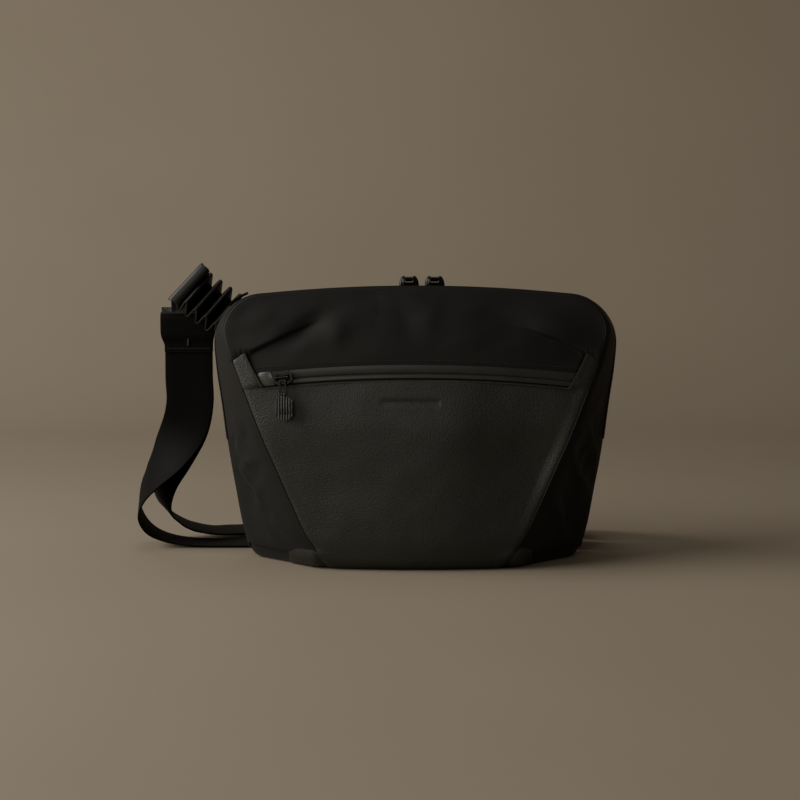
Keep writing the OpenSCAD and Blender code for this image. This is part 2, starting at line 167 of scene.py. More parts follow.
def ear_inner(z):
    """Inner edge of an ear, as a share of the half width."""
    return 0.87 + 0.036 * (z - EAR_FOOT_Z) / 25


def rumple(p, scale, seed=0.0):
    """Soft noise between -1 and 1 at each point, with folds about scale millimetres apart."""
    flat = p.reshape(-1, 3) / scale
    rise = [noise.noise(Vector((x + seed, y, z - seed))) for x, y, z in flat]
    return np.array(rise).reshape(p.shape[:-1])


def fold(p, line, width, sharp):
    """A pleat along a line of (x, z) points: raised just above the line, sunk just below it."""
    line = np.array(line, float)
    q = p[..., [0, 2]]
    n = len(line) - 1
    best = np.full(p.shape[:-1], 1e9)
    signed = np.zeros(p.shape[:-1])
    along = np.zeros(p.shape[:-1])
    for i, (a, b) in enumerate(zip(line[:-1], line[1:])):
        d = b - a
        t = np.clip(((q - a) @ d) / (d @ d), 0, 1)
        off = q - (a + t[..., None] * d)
        dist = np.linalg.norm(off, axis=-1)
        above = np.sign(off[..., 1] * abs(d[0]) - off[..., 0] * d[1] * np.sign(d[0]))
        near = dist < best
        signed = np.where(near, dist * above, signed)
        along = np.where(near, (i + t) / n, along)
        best = np.minimum(best, dist)
    ends = step(0, 0.08, along) * step(1, 0.6, along)
    return np.tanh(signed / sharp) * np.exp(-np.abs(signed) / width) * ends


def dent(p, x, z, length, width, turn):
    """A soft oval hollow, its long axis turned from the horizontal."""
    a = math.radians(turn)
    dx, dz = p[..., 0] - x, p[..., 2] - z
    u, v = dx * math.cos(a) + dz * math.sin(a), dz * math.cos(a) - dx * math.sin(a)
    return np.exp(-(u / length) ** 2 - (v / width) ** 2)


# ---- meshes
def make(name, verts, faces, material, body=None, uv=None, sharp=50):
    mesh = bpy.data.meshes.new(name)
    faces = [list(map(int, f)) for f in faces]
    mesh.from_pydata((np.asarray(verts, float) * MM).tolist(), [], faces)
    mesh.validate()
    if uv is not None:
        layer = mesh.uv_layers.new(name="UVMap")
        loops = np.zeros(len(mesh.loops), np.int32)
        mesh.loops.foreach_get("vertex_index", loops)
        layer.data.foreach_set("uv", (np.asarray(uv, float)[loops] * MM).ravel())
    mesh.materials.append(material)
    mesh.shade_smooth()
    mesh.set_sharp_from_angle(angle=math.radians(sharp))
    obj = bpy.data.objects.new(name, mesh)
    bpy.context.collection.objects.link(obj)
    if body:
        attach(obj, body)
    return obj


def arc_uv(p):
    """Distances along both directions of a grid of points, for weaves that follow it."""
    du = np.linalg.norm(np.diff(p, axis=0), axis=-1).mean(1)
    dv = np.linalg.norm(np.diff(p, axis=1), axis=-1).mean(0)
    u = np.concatenate([[0], np.cumsum(du)])
    v = np.concatenate([[0], np.cumsum(dv)])
    return np.stack(np.meshgrid(u, v, indexing="ij"), -1)


def grid(name, p, material, body=None, keep=None, thick=0.0, edge=0.0, flip=False, wrap=False,
         uv=None, sharp=50):
    """A surface through a grid of points, given a thickness behind it and soft edges."""
    n, m = p.shape[:2]
    index = np.arange(n * m).reshape(n, m)
    if wrap:
        index = np.vstack([index, index[:1]])
    quads = np.stack([index[:-1, :-1], index[1:, :-1], index[1:, 1:], index[:-1, 1:]], -1)
    quads = quads[keep] if keep is not None else quads.reshape(-1, 4)
    if flip:
        quads = quads[:, ::-1]
    used, quads = np.unique(quads, return_inverse=True)
    quads = quads.reshape(-1, 4)
    uv = (arc_uv(p) if uv is None else uv).reshape(-1, 2)[used]
    obj = make(name, p.reshape(-1, 3)[used], quads, material, uv=uv, sharp=sharp)
    if thick:
        solid = obj.modifiers.new("Thickness", "SOLIDIFY")
        solid.thickness = thick * MM
        solid.offset = -1
        solid.use_even_offset = False
    if edge:
        bevel = obj.modifiers.new("Edge", "BEVEL")
        bevel.width = edge * MM
        bevel.segments = 2
        bevel.limit_method = "ANGLE"
        bevel.angle_limit = math.radians(55)
    if thick or edge:
        bake(obj, sharp)
    if body:
        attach(obj, body)
    return obj


def bake(obj, sharp=50):
    """Applies the modifiers to the mesh."""
    graph = bpy.context.evaluated_depsgraph_get()
    mesh = bpy.data.meshes.new_from_object(obj.evaluated_get(graph))
    obj.modifiers.clear()
    obj.data = mesh
    mesh.shade_smooth()
    mesh.set_sharp_from_angle(angle=math.radians(sharp))


# half of webbing's section, as shares of its half width and half thickness: its edges are fuller
WEB_EDGE = [(-1, 0.35), (-0.985, 0.85), (-0.93, 1.05), (-0.6, 0.95), (0, 1), (0.6, 0.95),
            (0.93, 1.05), (0.985, 0.85), (1, 0.35)]
WEB_SECTION = np.array(WEB_EDGE + [(-x, -y) for x, y in WEB_EDGE])


def webbing(name, centre, across, material, body=None, width=WEB_W, thick=WEB_T, square=True):
    """Flat webbing along a line. Its width runs along across: one vector, or one a point."""
    centre = np.asarray(centre, float)
    across = np.broadcast_to(np.asarray(across, float), centre.shape)
    along = unit(np.gradient(centre, axis=0))
    if square:
        across = across - along * (across * along).sum(1, keepdims=True)
    across = unit(across)
    out = unit(np.cross(along, across))
    x, y = WEB_SECTION[None, :, :1], WEB_SECTION[None, :, 1:]
    p = (centre[:, None] + across[:, None] * x * np.reshape(width, (-1, 1, 1)) / 2
         + out[:, None] * y * thick / 2)
    n, m = p.shape[:2]
    index = np.arange(n * m).reshape(n, m)
    index = np.hstack([index, index[:, :1]])
    quads = np.stack([index[:-1, :-1], index[:-1, 1:], index[1:, 1:], index[1:, :-1]], -1)
    faces = quads.reshape(-1, 4).tolist() + [list(range(m))[::-1], list(range((n - 1) * m, n * m))]
    uv = np.stack(np.broadcast_arrays(run_length(centre)[:, None], x[..., 0] * WEB_W / 2), -1)
    return make(name, p.reshape(-1, 3), faces, material, body, uv=uv.reshape(-1, 2), sharp=40)


def spline(points, per=8):
    """A smooth curve through rows of numbers (Catmull-Rom)."""
    p = np.asarray(points, float)
    p = np.vstack([2 * p[0] - p[1], p, 2 * p[-1] - p[-2]])
    rows = []
    for a, b, c, d in zip(p[:-3], p[1:-2], p[2:-1], p[3:]):
        for t in np.arange(per) / per:
            rows.append(0.5 * (2 * b + (c - a) * t + (2 * a - 5 * b + 4 * c - d) * t**2
                               + (3 * b - a - 3 * c + d) * t**3))
    return np.array(rows + [p[-2]])


def run_length(line):
    """How far along a line of points each point lies."""
    return np.concatenate([[0], np.cumsum(np.linalg.norm(np.diff(line, axis=0), axis=1))])


def resample(line, pitch):
    line = np.asarray(line, float)
    at = run_length(line)
    n = max(2, int(round(at[-1] / pitch)) + 1)
    want = np.linspace(0, at[-1], n)
    return np.stack([np.interp(want, at, line[:, k]) for k in range(line.shape[1])], 1)


def beads(name, centres, along, normal, length, radius, material, body=None, flat=1.0):
    """Many small round-ended rods as one mesh: stitches, zip teeth."""
    centres, along, normal = (np.asarray(v, float) for v in (centres, along, normal))
    along = unit(along)
    side = unit(np.cross(along, normal))
    up = np.cross(side, along)
    turn = np.radians(np.arange(0, 360, 60))
    rings = [(-0.5, 0.45), (-0.34, 1.0), (0.34, 1.0), (0.5, 0.45)]
    p = np.stack([centres[:, None] + along[:, None] * (a * length)
                  + (side[:, None] * np.cos(turn)[None, :, None]
                     + up[:, None] * np.sin(turn)[None, :, None] * flat) * radius * r
                  for a, r in rings], 1)
    k = len(turn)
    ring = [[j * k + i, j * k + (i + 1) % k, (j + 1) * k + (i + 1) % k, (j + 1) * k + i]
            for j in range(len(rings) - 1) for i in range(k)]
    caps = [list(range(k))[::-1], list(range(3 * k, 4 * k))]
    base = np.arange(len(centres)) * 4 * k
    faces = [[b + v for v in f] for b in base for f in ring + caps]
    return make(name, p.reshape(-1, 3), faces, material, body, sharp=60)


def stitches(name, line, normal, material, body=None, pitch=3.4, length=2.5, radius=0.24):
    pts = resample(line, pitch)
    mid = (pts[1:] + pts[:-1]) / 2
    n = np.broadcast_to(np.asarray(normal, float), mid.shape)
    return beads(name, mid, pts[1:] - pts[:-1], n, length, radius, material, body)


def blend(obj, *replaced):
    """Bakes the object's placement into its mesh and hides the CAD parts it replaces."""
    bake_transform(obj)
    if replaced:
        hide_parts(*replaced)


# ---- materials
class Shader:
    """A Principled material whose colour, roughness and relief vary from nodes."""

    def __init__(self, name, metallic=0.0, specular=0.5, coat=0.0, coat_rough=0.1, sheen=0.0,
                 sheen_rough=0.5):
        self.material = bpy.data.materials.new(name)
        self.material.use_nodes = True
        self.tree = self.material.node_tree
        self.shader = self.tree.nodes["Principled BSDF"]
        values = {"Metallic": metallic, "Specular IOR Level": specular,
                  "Coat Weight": coat, "Coat Roughness": coat_rough,
                  "Sheen Weight": sheen, "Sheen Roughness": sheen_rough}
        for socket, value in values.items():
            self.shader.inputs[socket].default_value = value
        self.place = self.add("ShaderNodeTexCoord")

    def add(self, kind, props=None, **inputs):
        """A node. Inputs go by name, or by number after an underscore; a socket is linked."""
        node = self.tree.nodes.new(kind)
        for key, value in (props or {}).items():
            setattr(node, key, value)
        for key, value in inputs.items():
            socket = node.inputs[int(key[1:]) if key[0] == "_" else key.replace("_", " ")]
            if isinstance(value, bpy.types.NodeSocket):
                self.tree.links.new(value, socket)
            else:
                socket.default_value = value
        return node

    def noise(self, size, detail=3.0):
        """Noise whose blobs are about size metres across."""
        return self.add("ShaderNodeTexNoise", Vector=self.place.outputs["Object"], Scale=1 / size,
                        Detail=detail, Roughness=0.55).outputs["Fac"]

    def cells(self, size):
        return self.add("ShaderNodeTexVoronoi", {"feature": "SMOOTH_F1"},
                        Vector=self.place.outputs["Object"], Scale=1 / size,
                        Smoothness=0.35).outputs["Distance"]

    def bands(self, period, direction, where="UV", turn=0.0, warp=0.0):
        """Parallel ridges period metres apart, along one axis of the cloth."""
        turned = self.add("ShaderNodeMapping", Vector=self.place.outputs[where],
                          Rotation=(0, 0, turn)).outputs["Vector"]
        return self.add("ShaderNodeTexWave", {"wave_type": "BANDS", "bands_direction": direction},
                        Vector=turned, Scale=math.pi / 10 / period, Distortion=warp,
                        Detail=1.0).outputs["Fac"]

    def math(self, operation, a, b):
        return self.add("ShaderNodeMath", {"operation": operation}, _0=a, _1=b).outputs[0]

    def blend(self, a, share_a, b, share_b):
        """Two heights added in the given shares."""
        return self.math("ADD", self.math("MULTIPLY", a, share_a),
                         self.math("MULTIPLY", b, share_b))

    def colour(self, factor, dark, light, low=0.3, high=0.7):
        ramp = self.add("ShaderNodeValToRGB", Fac=factor)
        for stop, at, colour in zip(ramp.color_ramp.elements, (low, high), (dark, light)):
            stop.position, stop.color = at, (*colour, 1)
        self.tree.links.new(ramp.outputs["Color"], self.shader.inputs["Base Color"])

    def roughness(self, factor, low, high):
        spread = self.add("ShaderNodeMapRange", Value=factor, To_Min=low, To_Max=high)
        self.tree.links.new(spread.outputs["Result"], self.shader.inputs["Roughness"])

    def relief(self, *layers):
        """Layers of (height, depth in metres, strength), coarse to fine."""
        normal = None
        for height, depth, strength in layers:
            bump = self.add("ShaderNodeBump", Height=height, Distance=depth, Strength=strength)
            if normal:
                self.tree.links.new(normal, bump.inputs["Normal"])
            normal = bump.outputs["Normal"]
        self.tree.links.new(normal, self.shader.inputs["Normal"])


def twill_material(name, dark, light, yarn=0.0011, relief=0.00012, sheen=0.25):
    s = Shader(name, specular=0.35, sheen=sheen, sheen_rough=0.45)
    warp = s.bands(yarn, "X", turn=math.radians(45), warp=0.4)
    weft = s.bands(yarn, "X", turn=math.radians(-45), warp=0.4)
    weave = s.math("MAXIMUM", s.math("MULTIPLY", warp, 0.9), s.math("MULTIPLY", weft, 0.7))
    wear = s.noise(0.05, 5)
    s.colour(s.blend(weave, 0.35, wear, 0.65), dark, light, 0.25, 0.8)
    s.roughness(wear, 0.55, 0.75)
    s.relief((s.noise(0.02, 4), 0.0006, 0.25), (weave, relief, 0.55))
    return s.material


def leather_material():
    s = Shader("leather", specular=0.5, coat=0.12, coat_rough=0.38)
    grain = s.cells(0.001)
    fine = s.noise(0.0007, 2)
    wear = s.noise(0.045, 5)
    # Colour: lighter at the middle of each pebble cell, a painted highlight on the pebbles, mixed
    # with random tone from wear.
    s.colour(s.blend(grain, 0.5, wear, 0.6), (0.0265, 0.0275, 0.0222), (0.0092, 0.0096, 0.0077),
             0.2, 0.95)
    s.roughness(s.blend(wear, 0.6, grain, 0.4), 0.36, 0.60)
    s.relief((s.noise(0.016, 3), 0.0003, 0.1), (grain, 0.0003, 0.85), (fine, 0.0001, 0.45))
    return s.material


def laminate_material():
    s = Shader("laminate", specular=0.45, coat=0.12, coat_rough=0.3)
    cloth = s.math("MULTIPLY", s.bands(0.0009, "X"), s.bands(0.0009, "Y"))
    wear = s.noise(0.03, 4)
    s.colour(wear, (0.018, 0.0184, 0.0145), (0.026, 0.0265, 0.021))
    s.roughness(wear, 0.34, 0.5)
    s.relief((wear, 0.0004, 0.2), (cloth, 0.00004, 0.3))
    return s.material


def webbing_material(name, specular, light, low, high):
    s = Shader(name, specular=specular, sheen=0.02, sheen_rough=0.4)
    weave = s.blend(s.bands(0.0011, "X"), 0.65, s.bands(0.0008, "Y", warp=0.3), 0.35)
    # light multiplies the colour; above 1 it paints light into a brighter copy of the same webbing
    s.colour(s.blend(weave, 0.6, s.noise(0.03, 4), 0.4),
             tuple(light * c for c in (0.0008, 0.0008, 0.0006)),
             tuple(light * c for c in (0.0021, 0.0021, 0.0017)), 0.2, 0.85)
    s.roughness(weave, low, high)
    s.relief((weave, 0.00012, 0.5))
    return s.material


def hard_material(name, dark, light, metallic, low, high, coat=0.0, specular=0.5):
    s = Shader(name, metallic=metallic, specular=specular, coat=coat, coat_rough=0.12)
    wear = s.noise(0.004, 5)
    s.colour(wear, dark, light)
    s.roughness(wear, low, high)
    s.relief((s.noise(0.004 / 3, 3), 0.00005, 0.35))
    return s.material


def pull_material():
    """Ribbed rubber: glossy ribs, with painted shade darkening the grooves between them."""
    s = Shader("pull_rubber", specular=0.4, coat=0.15, coat_rough=0.2)
    ribs = s.bands(0.002, "X", "Object")
    # Painted shade: the grooves are coloured near black and the ribs lighter, following the ribs'
    # relief.
    s.colour(ribs, (0.016, 0.0157, 0.0135), (0.0012, 0.0012, 0.001), 0.25, 0.6)
    s.roughness(ribs, 0.24, 0.55)
    s.relief((s.math("SUBTRACT", 1.0, ribs), 0.0006, 0.9))
    return s.material


def thread_material():
    s = Shader("thread", specular=0.3, sheen=0.2)
    twist = s.noise(0.0006, 2)
    s.colour(twist, (0.003, 0.003, 0.0025), (0.008, 0.008, 0.0065))
    s.roughness(twist, 0.5, 0.7)
    s.relief((twist, 0.00005, 0.4))
    return s.material


def mesh_material():
    s = Shader("spacer_mesh", specular=0.3, sheen=0.2)
    holes = s.add("ShaderNodeTexVoronoi", {"feature": "F1"}, Vector=s.place.outputs["UV"],
                  Scale=380.0, Randomness=0.15).outputs["Distance"]
    s.colour(holes, (0.002, 0.002, 0.0018), (0.016, 0.0155, 0.013), 0.1, 0.6)
    s.roughness(s.noise(0.01, 3), 0.6, 0.8)
    s.relief((holes, 0.0006, 0.7))
    return s.material


NYLON = twill_material("nylon", (0.0026, 0.0026, 0.0021), (0.0066, 0.0065, 0.0053), sheen=0.05)
LINING = twill_material("lining", (0.030, 0.030, 0.029), (0.052, 0.051, 0.048), 0.0009, 0.00006)
LEATHER = leather_material()
LAMINATE = laminate_material()
WEBBING = webbing_material("webbing", 0.14, 1.0, 0.6, 0.75)
# The pleats' webbing, coloured four times lighter than the strap's: painted light standing in for
# the light on the pleats' crests and in their shaded troughs.
PLEATED_PAINTED_LIGHT = webbing_material("webbing_pleats_painted_light", 0.6, 4.0, 0.32, 0.48)
THREAD = thread_material()
MESH = mesh_material()
COIL = hard_material("coil", (0.008, 0.008, 0.0075), (0.018, 0.018, 0.016), 0.0, 0.32, 0.48)
METAL = hard_material("black_metal", (0.002, 0.002, 0.0018), (0.005, 0.0048, 0.0043),
                      0.3, 0.13, 0.22, 0.2, 0.35)
PULL = pull_material()
GARAGE = hard_material("garage", (0.034, 0.034, 0.029), (0.050, 0.049, 0.042), 0.0, 0.3, 0.42, 0.2)


def paint(name, material):
    """Gives a CAD node its finish."""
    mats = nodes[name].data.materials
    mats.clear()
    mats.append(material)


# ---- front: leather
def leather_heights(u):
    """Heights of the leather's rows in the column u, from the roll under the base to the zip."""
    roll = ROLL * (1 - np.sin(np.radians(np.linspace(80, 0, 7))))
    low = np.linspace(ROLL, 60, 25)[1:]
    bar = np.array([BAR[2] - 0.8, BAR[2], BAR[3], BAR[3] + 0.8])
    mid = np.concatenate([np.arange(62, 127, 2.2), bar, [135.5]])
    high = mix(137.0, band_low(u) - 0.2, np.linspace(0, 1, 6))
    return np.concatenate([roll, low, mid, high])


def roll_under(z):
    """How far the rolled bottom edge draws in at a height."""
    down = np.clip((ROLL - z) / ROLL, 0, 1)
    return ROLL * (1 - np.sqrt(1 - down**2))


def hollow(x, z):
    """The leather's slack hollow beside the right seam."""
    return 4.4 * np.exp(-((x - 90) / 38) ** 2 - ((z - 90) / 44) ** 2)


def dress_front(p):
    """Soft relief of the front face: seam valleys, undulation, fullness at the bottom corners."""
    x, z = p[..., 0], p[..., 2]
    inset = SEAM.x(z) - np.abs(x)
    valley = 2.4 * np.exp(-(inset / 2.8) ** 2)
    slow = rumple(p, 46, 3.1) * 0.9 + rumple(p, 19, 7.7) * 0.3
    slow = slow - hollow(x, z) + 2.1 * np.exp(-((x - 20) / 40) ** 2 - ((z - 85) / 60) ** 2)
    out = np.abs(x) - 82
    full = 2.6 * np.exp(-((z - 13 - 0.14 * out) / 3.4) ** 2) * np.exp(-(out / 11) ** 2)
    p[..., 1] += valley - slow * step(0, 14, inset) * step(0, 20, z) - full
    return p


def leather_front():
    rim = np.array([0.8805, 0.90, 0.925, 0.945, 0.965, 0.98, 0.992, 1])
    us = np.concatenate([-rim[::-1], np.linspace(-0.8795, 0.8795, 121), rim])
    bar_us = np.array([BAR[0] - 0.5, BAR[0], BAR[1], BAR[1] + 0.5]) / SEAM.x(130)
    us = np.sort(np.concatenate([us, bar_us]))
    ears = np.linspace(0, 1, 12)[1:]
    cols = []
    for u in us:
        zs = leather_heights(u)
        col = front_xyz(u * SEAM.x(zs), zs, roll_under(zs) + 3 * np.clip((26 - zs) / 26, 0, 1) ** 2)
        col[:, 0] *= 1 - roll_under(zs) / 140
        ez = mix(band_low(u) - 0.2, ear_top(u), ears)
        eu = np.sign(u) * (1 - (1 - abs(u)) * (1 - ear_inner(ez)) / (1 - WINDOW_U))
        lift = -1.8 * step(0.86, 0.885, np.abs(eu)) * np.clip((1 - np.abs(eu)) / 0.105, 0, 1)
        cols.append(np.vstack([col, front_xyz(eu * SEAM.x(ez), ez, lift)]))
    p = np.array(cols)
    rows = len(leather_heights(0.0))
    keep = np.ones((p.shape[0] - 1, p.shape[1] - 1), bool)
    mid_u = (us[1:] + us[:-1]) / 2
    window = np.abs(mid_u) < WINDOW_U + 0.0005
    keep[np.ix_(window, np.arange(rows - 1, p.shape[1] - 1))] = False
    p = dress_front(p)
    pressed = ((p[..., 0] > BAR[0] - 0.1) & (p[..., 0] < BAR[1] + 0.1)
               & (p[..., 2] > BAR[2] - 0.1) & (p[..., 2] < BAR[3] + 0.1))
    p[..., 1] += BAR_DEPTH * pressed
    obj = grid("leather_front", p, LEATHER, keep=keep, thick=1.4, edge=0.45)
    blend(obj, "leather_lower", "leather_upper")


# pleats from the leather's ears: line, height, width, sharpness
PLEATS = (
    ([(-146, 155), (-131, 166), (-100, 181), (-84, 188), (-70, 195)], 1.7, 11, 0.9),
    ([(146, 155), (129, 167), (111, 177), (88, 185), (56, 191)], 1.9, 10, 1.0),
    ([(-30, 207), (-8, 200), (14, 203)], 0.5, 9, 4.0),
)
# hollows: x, z, length, width, turn, depth
DENTS = (
    (-86, 186, 20, 7, 30, 4.0), (-60, 184, 10, 8, 60, -1.5), (-8, 195, 7, 14, 15, 0.8),
    (10, 190, 8, 14, -10, -0.7), (72, 192, 24, 6, -12, 1.1), (104, 190, 18, 8, -30, -0.8),
    (-120, 195, 16, 9, 30, -0.8), (40, 178, 22, 7, 5, -0.5),
)


def fabric_front():
    rim = SEAM.path(146, gap=1.5)
    foot_u = np.linspace(-0.895, 0.895, len(rim))
    foot_x = foot_u * SEAM.x(150)
    foot_z = band_low(foot_u) + BAND_W - 0.6
    ks = np.concatenate([np.linspace(0, 0.93, 48), [0.945, 0.96, 0.975, 0.987, 0.995, 1.0]])
    x = mix(foot_x[:, None], rim[:, None, 0], ks)
    z = mix(foot_z[:, None], rim[:, None, 2], ks)
    p = front_xyz(x, z, fade=1 - ks**5)
    p[..., 1] = mix(p[..., 1], rim[:, None, 1], ks**6)
    edge = (1 - ks) * 60
    relief = (-0.9 * rumple(p, 40, 1.3) - 0.35 * rumple(p * [1, 1, 2.2], 22, 9.2)
              - 0.1 * rumple(p, 9, 4.0))
    for line, height, width, sharp in PLEATS:
        relief -= height * fold(p, line, width, sharp)
    for dx, dz, length, width, turn, depth in DENTS:
        relief += depth * dent(p, dx, dz, length, width, turn)
    calm = step(0, 9, edge) * step(0, 7, z - foot_z[:, None])
    p[..., 1] += relief * calm + 1.2 * np.exp(-(edge / 2.2) ** 2)
    share = np.abs(x) / SEAM.x(z)
    below = step(2.5, -2.5, z - ear_top(np.maximum(share, 0.89)))
    under = step(-0.012, 0.006, share - ear_inner(z)) * below
    p[..., 1] += 1.2 * under
    obj = grid("fabric_front", p, NYLON, "front_flap", thick=1.3, edge=0.4, uv=p[..., [0, 2]])
    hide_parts("front_fabric_panel")
    us = np.linspace(-WINDOW_U + 0.015, WINDOW_U - 0.015, 120)
    line = front_xyz(us * SEAM.x(162), band_low(us) + BAND_W + 2.4, -0.1)
    row = stitches("zip_stitches_upper", line, (0, -1, 0), THREAD, "front_flap", pitch=3.2)


def front_zip():
    us = np.linspace(-WINDOW_U, WINDOW_U, 131)
    zip_line = 4.6            # height of the slit above the band's lower edge
    parts = (("zip_band_upper", zip_line + 0.08, BAND_W + 0.8),
             ("zip_band_lower", -0.8, zip_line - 0.08))
    for name, low, high in parts:
        rows = []
        for f in np.linspace(0, 1, 25):
            h = mix(low, high, f)
            z = band_low(us) + h
            slit = 0.3 * math.exp(-((h - zip_line) / 0.6) ** 2)
            groove = 1.3 * math.exp(-((h - 0.1) / 0.5) ** 2)
            puff = 0.35 * math.sin(math.pi * f)
            rows.append(front_xyz(us * SEAM.x(z), z, 0.6 - puff + (slit + groove)))
        grid(name, np.stack(rows, 1), LAMINATE, "front_flap", thick=0.7, edge=0.2)
    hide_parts("front_zip_band")
    u = np.linspace(-0.876, -0.785, 14)
    rows = []
    for f in np.linspace(0, 1, 9):
        z = band_low(u) + mix(0.6, BAND_W - 0.4, f)
        slope = 1.3 - 2.1 * np.sin(np.minimum((u + 0.876) / 0.091 * 1.25, 1.35) * math.pi / 2)
        rows.append(front_xyz(u * SEAM.x(z), z, slope - 0.7 * math.sin(math.pi * f) ** 0.7))
    garage = grid("zip_garage", np.stack(rows, 1), GARAGE, "front_flap", thick=1.6, edge=0.4)
    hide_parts("front_zip_garage")


def window_piping():
    """Thin turned edge of the leather round the front zip's window."""
    z = np.linspace(ear_top(0.89), band_low(0.87) - 0.6, 22)
    side = front_xyz(-(ear_inner(z) - 0.002) * SEAM.x(z), z, -1.1)
    u = np.linspace(-0.862, 0.862, 120)
    z = band_low(u) - 0.7
    foot = front_xyz(u * SEAM.x(z), z, -0.35)
    line = smooth(resample(np.vstack([side, foot, (side * [-1, 1, 1])[::-1]]), 1.2), 2)
    across = np.cross(unit(np.gradient(line, axis=0)), (0, 1.0, 0))
    obj = webbing("window_piping", line, across, LEATHER, "front_flap", 1.3, 0.9)


# ---- gussets and main zip
def outward(line):
    """Normals of a line round the bag, seen from the front."""
    run = np.gradient(line, axis=0)
    return unit(np.stack([-run[:, 2], 0 * run[:, 0], run[:, 0]], 1))


def strip(o1, o2, f, z0, rise=0.0, gap=3.0):
    """Grid over the gusset from outline o1 to o2 at shares f, raised by rise; and its normals."""
    a, b = o1.path(z0, gap), o2.path(z0, gap)
    out = outward(b)
    return mix(a[:, None], b[:, None], np.atleast_2d(f)[..., None]) + out[:, None] * rise, out


# folds in the front gusset's lower corners: line, height
CREASES = (([(-140, 76), (-129, 61), (-118, 47)], 2.2), ([(-130, 77), (-112, 88)], 1.6),
           ([(118, 80), (134, 52)], 2.0), ([(102, 48), (122, 28)], 1.6))


def gusset_front():
    z = SEAM.path(12)[:, 2]
    top = mix(1.0, TAPE_F + 0.02, step(ZIP_END_Z - 3, ZIP_END_Z + 4, z))
    ks = np.concatenate([[0, 0.012, 0.03, 0.06], np.linspace(0.1, 0.95, 18), [0.985, 1.0]])
    f = top[:, None] * ks
    p, out = strip(SEAM, RIDGE, f, 12)
    belly = 1.6 * np.sin(np.pi * f) * (1 - step(185, 212, z))[:, None]
    calm = np.sin(np.pi * ks) * step(10, 28, z)[:, None]
    skew = p @ np.array([[1, 0, 0.35], [0, 1, 0], [0.25, 0.5, 0.6]])
    creases = 0.5 - np.abs(rumple(skew, 27, 5.0)) * 2.6 - np.abs(rumple(p, 15, 2.0)) * 0.9
    crumple = creases * step(150, 100, z)[:, None] * 2.4
    for line, height in CREASES:
        crumple += height * fold(p, line, 8, 1.2)
    light = rumple(p, 20, 8.0) * 0.5
    valley = -2.2 * np.exp(-(f * 60 / 2.8) ** 2)
    hem = -0.8 * np.exp(-((1 - ks) * 40 / 2.0) ** 2)
    light = light * (1 - 0.8 * step(190, 212, z))[:, None]
    p = p + out[:, None] * (belly + (crumple + light) * calm + valley + hem)[..., None]
    obj = grid("gusset_front", p, NYLON, thick=1.3, edge=0.35)
    blend(obj, "front_gusset", "side_gusset_left", "side_gusset_right")


def gusset_back():
    z = RIDGE.path(8)[:, 2]
    low = mix(0.0, BACK_TAPE_F - 0.01, step(ZIP_END_Z - 3, ZIP_END_Z + 4, z))
    ks = np.concatenate([[0, 0.02], np.linspace(0.06, 0.93, 16), [0.97, 1.0]])
    f = mix(low[:, None], 1.0, ks)
    p, out = strip(RIDGE, BACK, f, 8)
    belly = 1.4 * np.sin(np.pi * f) * (1 - step(185, 212, z))[:, None]
    calm = np.sin(np.pi * ks) * (1 - 0.7 * step(190, 212, z))[:, None]
    crumple = rumple(p, 26, 6.0) * 0.9 + rumple(p, 12, 1.0) * 0.3
    hem = -0.8 * np.exp(-(ks * 36 / 2.0) ** 2)
    p = p + out[:, None] * (belly + crumple * calm + hem)[..., None]
    obj = grid("gusset_back", p, NYLON, "bag", thick=1.3, edge=0.35)
    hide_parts("back_gusset")


def main_zip():
    z0 = ZIP_END_Z - 3
    for name, o1, o2, low, high, body, node in (
            ("zip_tape_front", SEAM, RIDGE, TAPE_F - 0.03, COIL_F + 0.012, "front_flap",
             "main_zip_tape_front"),
            ("zip_tape_back", RIDGE, BACK, BACK_COIL_F - 0.008, BACK_TAPE_F + 0.02, "bag",
             "main_zip_tape_back")):
        obj = grid(name, strip(o1, o2, np.linspace(low, high, 8), z0, rise=-0.4)[0],
                   NYLON, body, thick=0.7, edge=0.15)
        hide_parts(node)
    for name, o1, o2, f, body, node, shift in (
            ("zip_coil_front", SEAM, RIDGE, 0.975, "front_flap", "main_zip_coil_front", 0.0),
            ("zip_coil_back", RIDGE, BACK, 0.016, "bag", "main_zip_coil_back", 0.5)):
        line = resample(strip(o1, o2, [f], z0, rise=-0.2, gap=2.0)[0][:, 0], 1.3)
        line = line[:-1] + (line[1:] - line[:-1]) * shift
        n = outward(line)
        run = unit(np.gradient(line, axis=0))
        obj = beads(name, line, np.cross(run, n), n, 2.5, 0.5, COIL, body)
        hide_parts(node)
    z = ZIP_END_Z + 4.0
    ends = [np.array([side * (RIDGE.x(z) - 1.8), RIDGE.y(z), z]) for side in (-1, 1)]
    stop = beads("main_zip_end_stops", ends, [(0, 1, 0)] * 2, [(-1, 0, 0), (1, 0, 0)], 5, 0.8,
                 METAL, "bag", 0.8)
    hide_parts("main_zip_stops")


